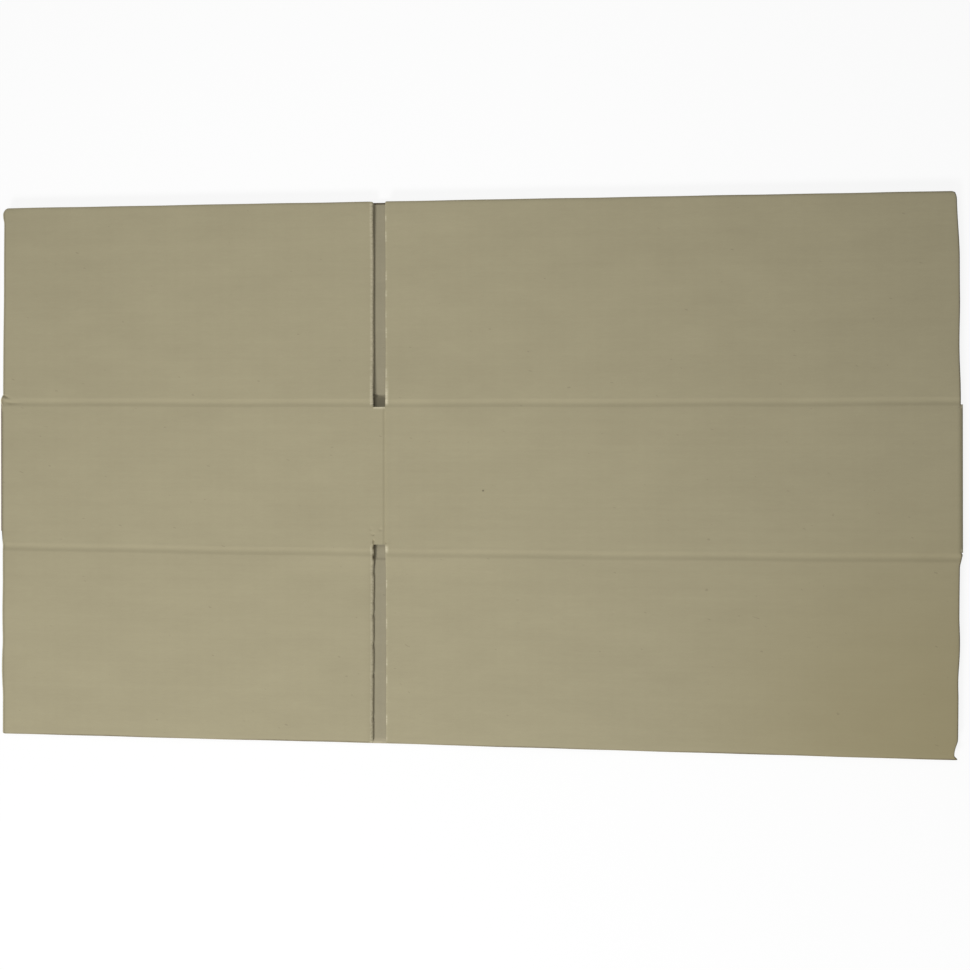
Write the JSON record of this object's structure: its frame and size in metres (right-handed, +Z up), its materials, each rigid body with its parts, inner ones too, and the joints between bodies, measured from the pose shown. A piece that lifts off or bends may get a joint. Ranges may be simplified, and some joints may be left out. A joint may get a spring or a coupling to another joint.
{
  "type": "flattened cardboard box",
  "caption": "Slotted shipping carton of brown corrugated board, glued into a tube of panels and folded flat, with creased flaps above and below.",
  "frame": {"origin": "middle of the underside of the flat carton, on the surface that it lies on", "axes": "+X along the creases towards the end where the front shows its long panel, +Y towards the top flaps, +Z up from the back layer to the front layer"},
  "size_m": [0.5326, 0.301, 0.0076],
  "materials": {
    "kraft_board": "matte"
  },
  "bodies": {
    "panels": {"carton_body": "kraft_board"},
    "front_top_short": {"front_top_short_flap": "kraft_board"},
    "front_top_long": {"front_top_long_flap": "kraft_board"},
    "front_bottom_short": {"front_bottom_short_flap": "kraft_board"},
    "front_bottom_long": {"front_bottom_long_flap": "kraft_board"},
    "back_top_short": {"back_top_short_flap": "kraft_board"},
    "back_top_long": {"back_top_long_flap": "kraft_board"},
    "back_bottom_short": {"back_bottom_short_flap": "kraft_board"},
    "back_bottom_long": {"back_bottom_long_flap": "kraft_board"}
  },
  "joints": [
    {"name": "front_top_short_crease", "type": "hinge", "parent": "panels", "child": "front_top_short", "pos_m": [-0.15665, 0.03925, 0.0071], "axis": [1, 0, 0], "range_deg": [0, 110]},
    {"name": "front_top_long_crease", "type": "hinge", "parent": "panels", "child": "front_top_long", "pos_m": [0.11085, 0.03925, 0.0071], "axis": [1, 0, 0], "range_deg": [0, 110]},
    {"name": "front_bottom_short_crease", "type": "hinge", "parent": "panels", "child": "front_bottom_short", "pos_m": [-0.15665, -0.04355, 0.0071], "axis": [-1, 0, 0], "range_deg": [0, 110]},
    {"name": "front_bottom_long_crease", "type": "hinge", "parent": "panels", "child": "front_bottom_long", "pos_m": [0.11085, -0.04355, 0.0071], "axis": [-1, 0, 0], "range_deg": [0, 110]},
    {"name": "back_top_short_crease", "type": "hinge", "parent": "panels", "child": "back_top_short", "pos_m": [0.15215, 0.03925, 0.0005], "axis": [-1, 0, 0], "range_deg": [0, 110]},
    {"name": "back_top_long_crease", "type": "hinge", "parent": "panels", "child": "back_top_long", "pos_m": [-0.10875, 0.03925, 0.0005], "axis": [-1, 0, 0], "range_deg": [0, 110]},
    {"name": "back_bottom_short_crease", "type": "hinge", "parent": "panels", "child": "back_bottom_short", "pos_m": [0.15215, -0.04355, 0.0005], "axis": [1, 0, 0], "range_deg": [0, 110]},
    {"name": "back_bottom_long_crease", "type": "hinge", "parent": "panels", "child": "back_bottom_long", "pos_m": [-0.10875, -0.04355, 0.0005], "axis": [1, 0, 0], "range_deg": [0, 110]}
  ]
}
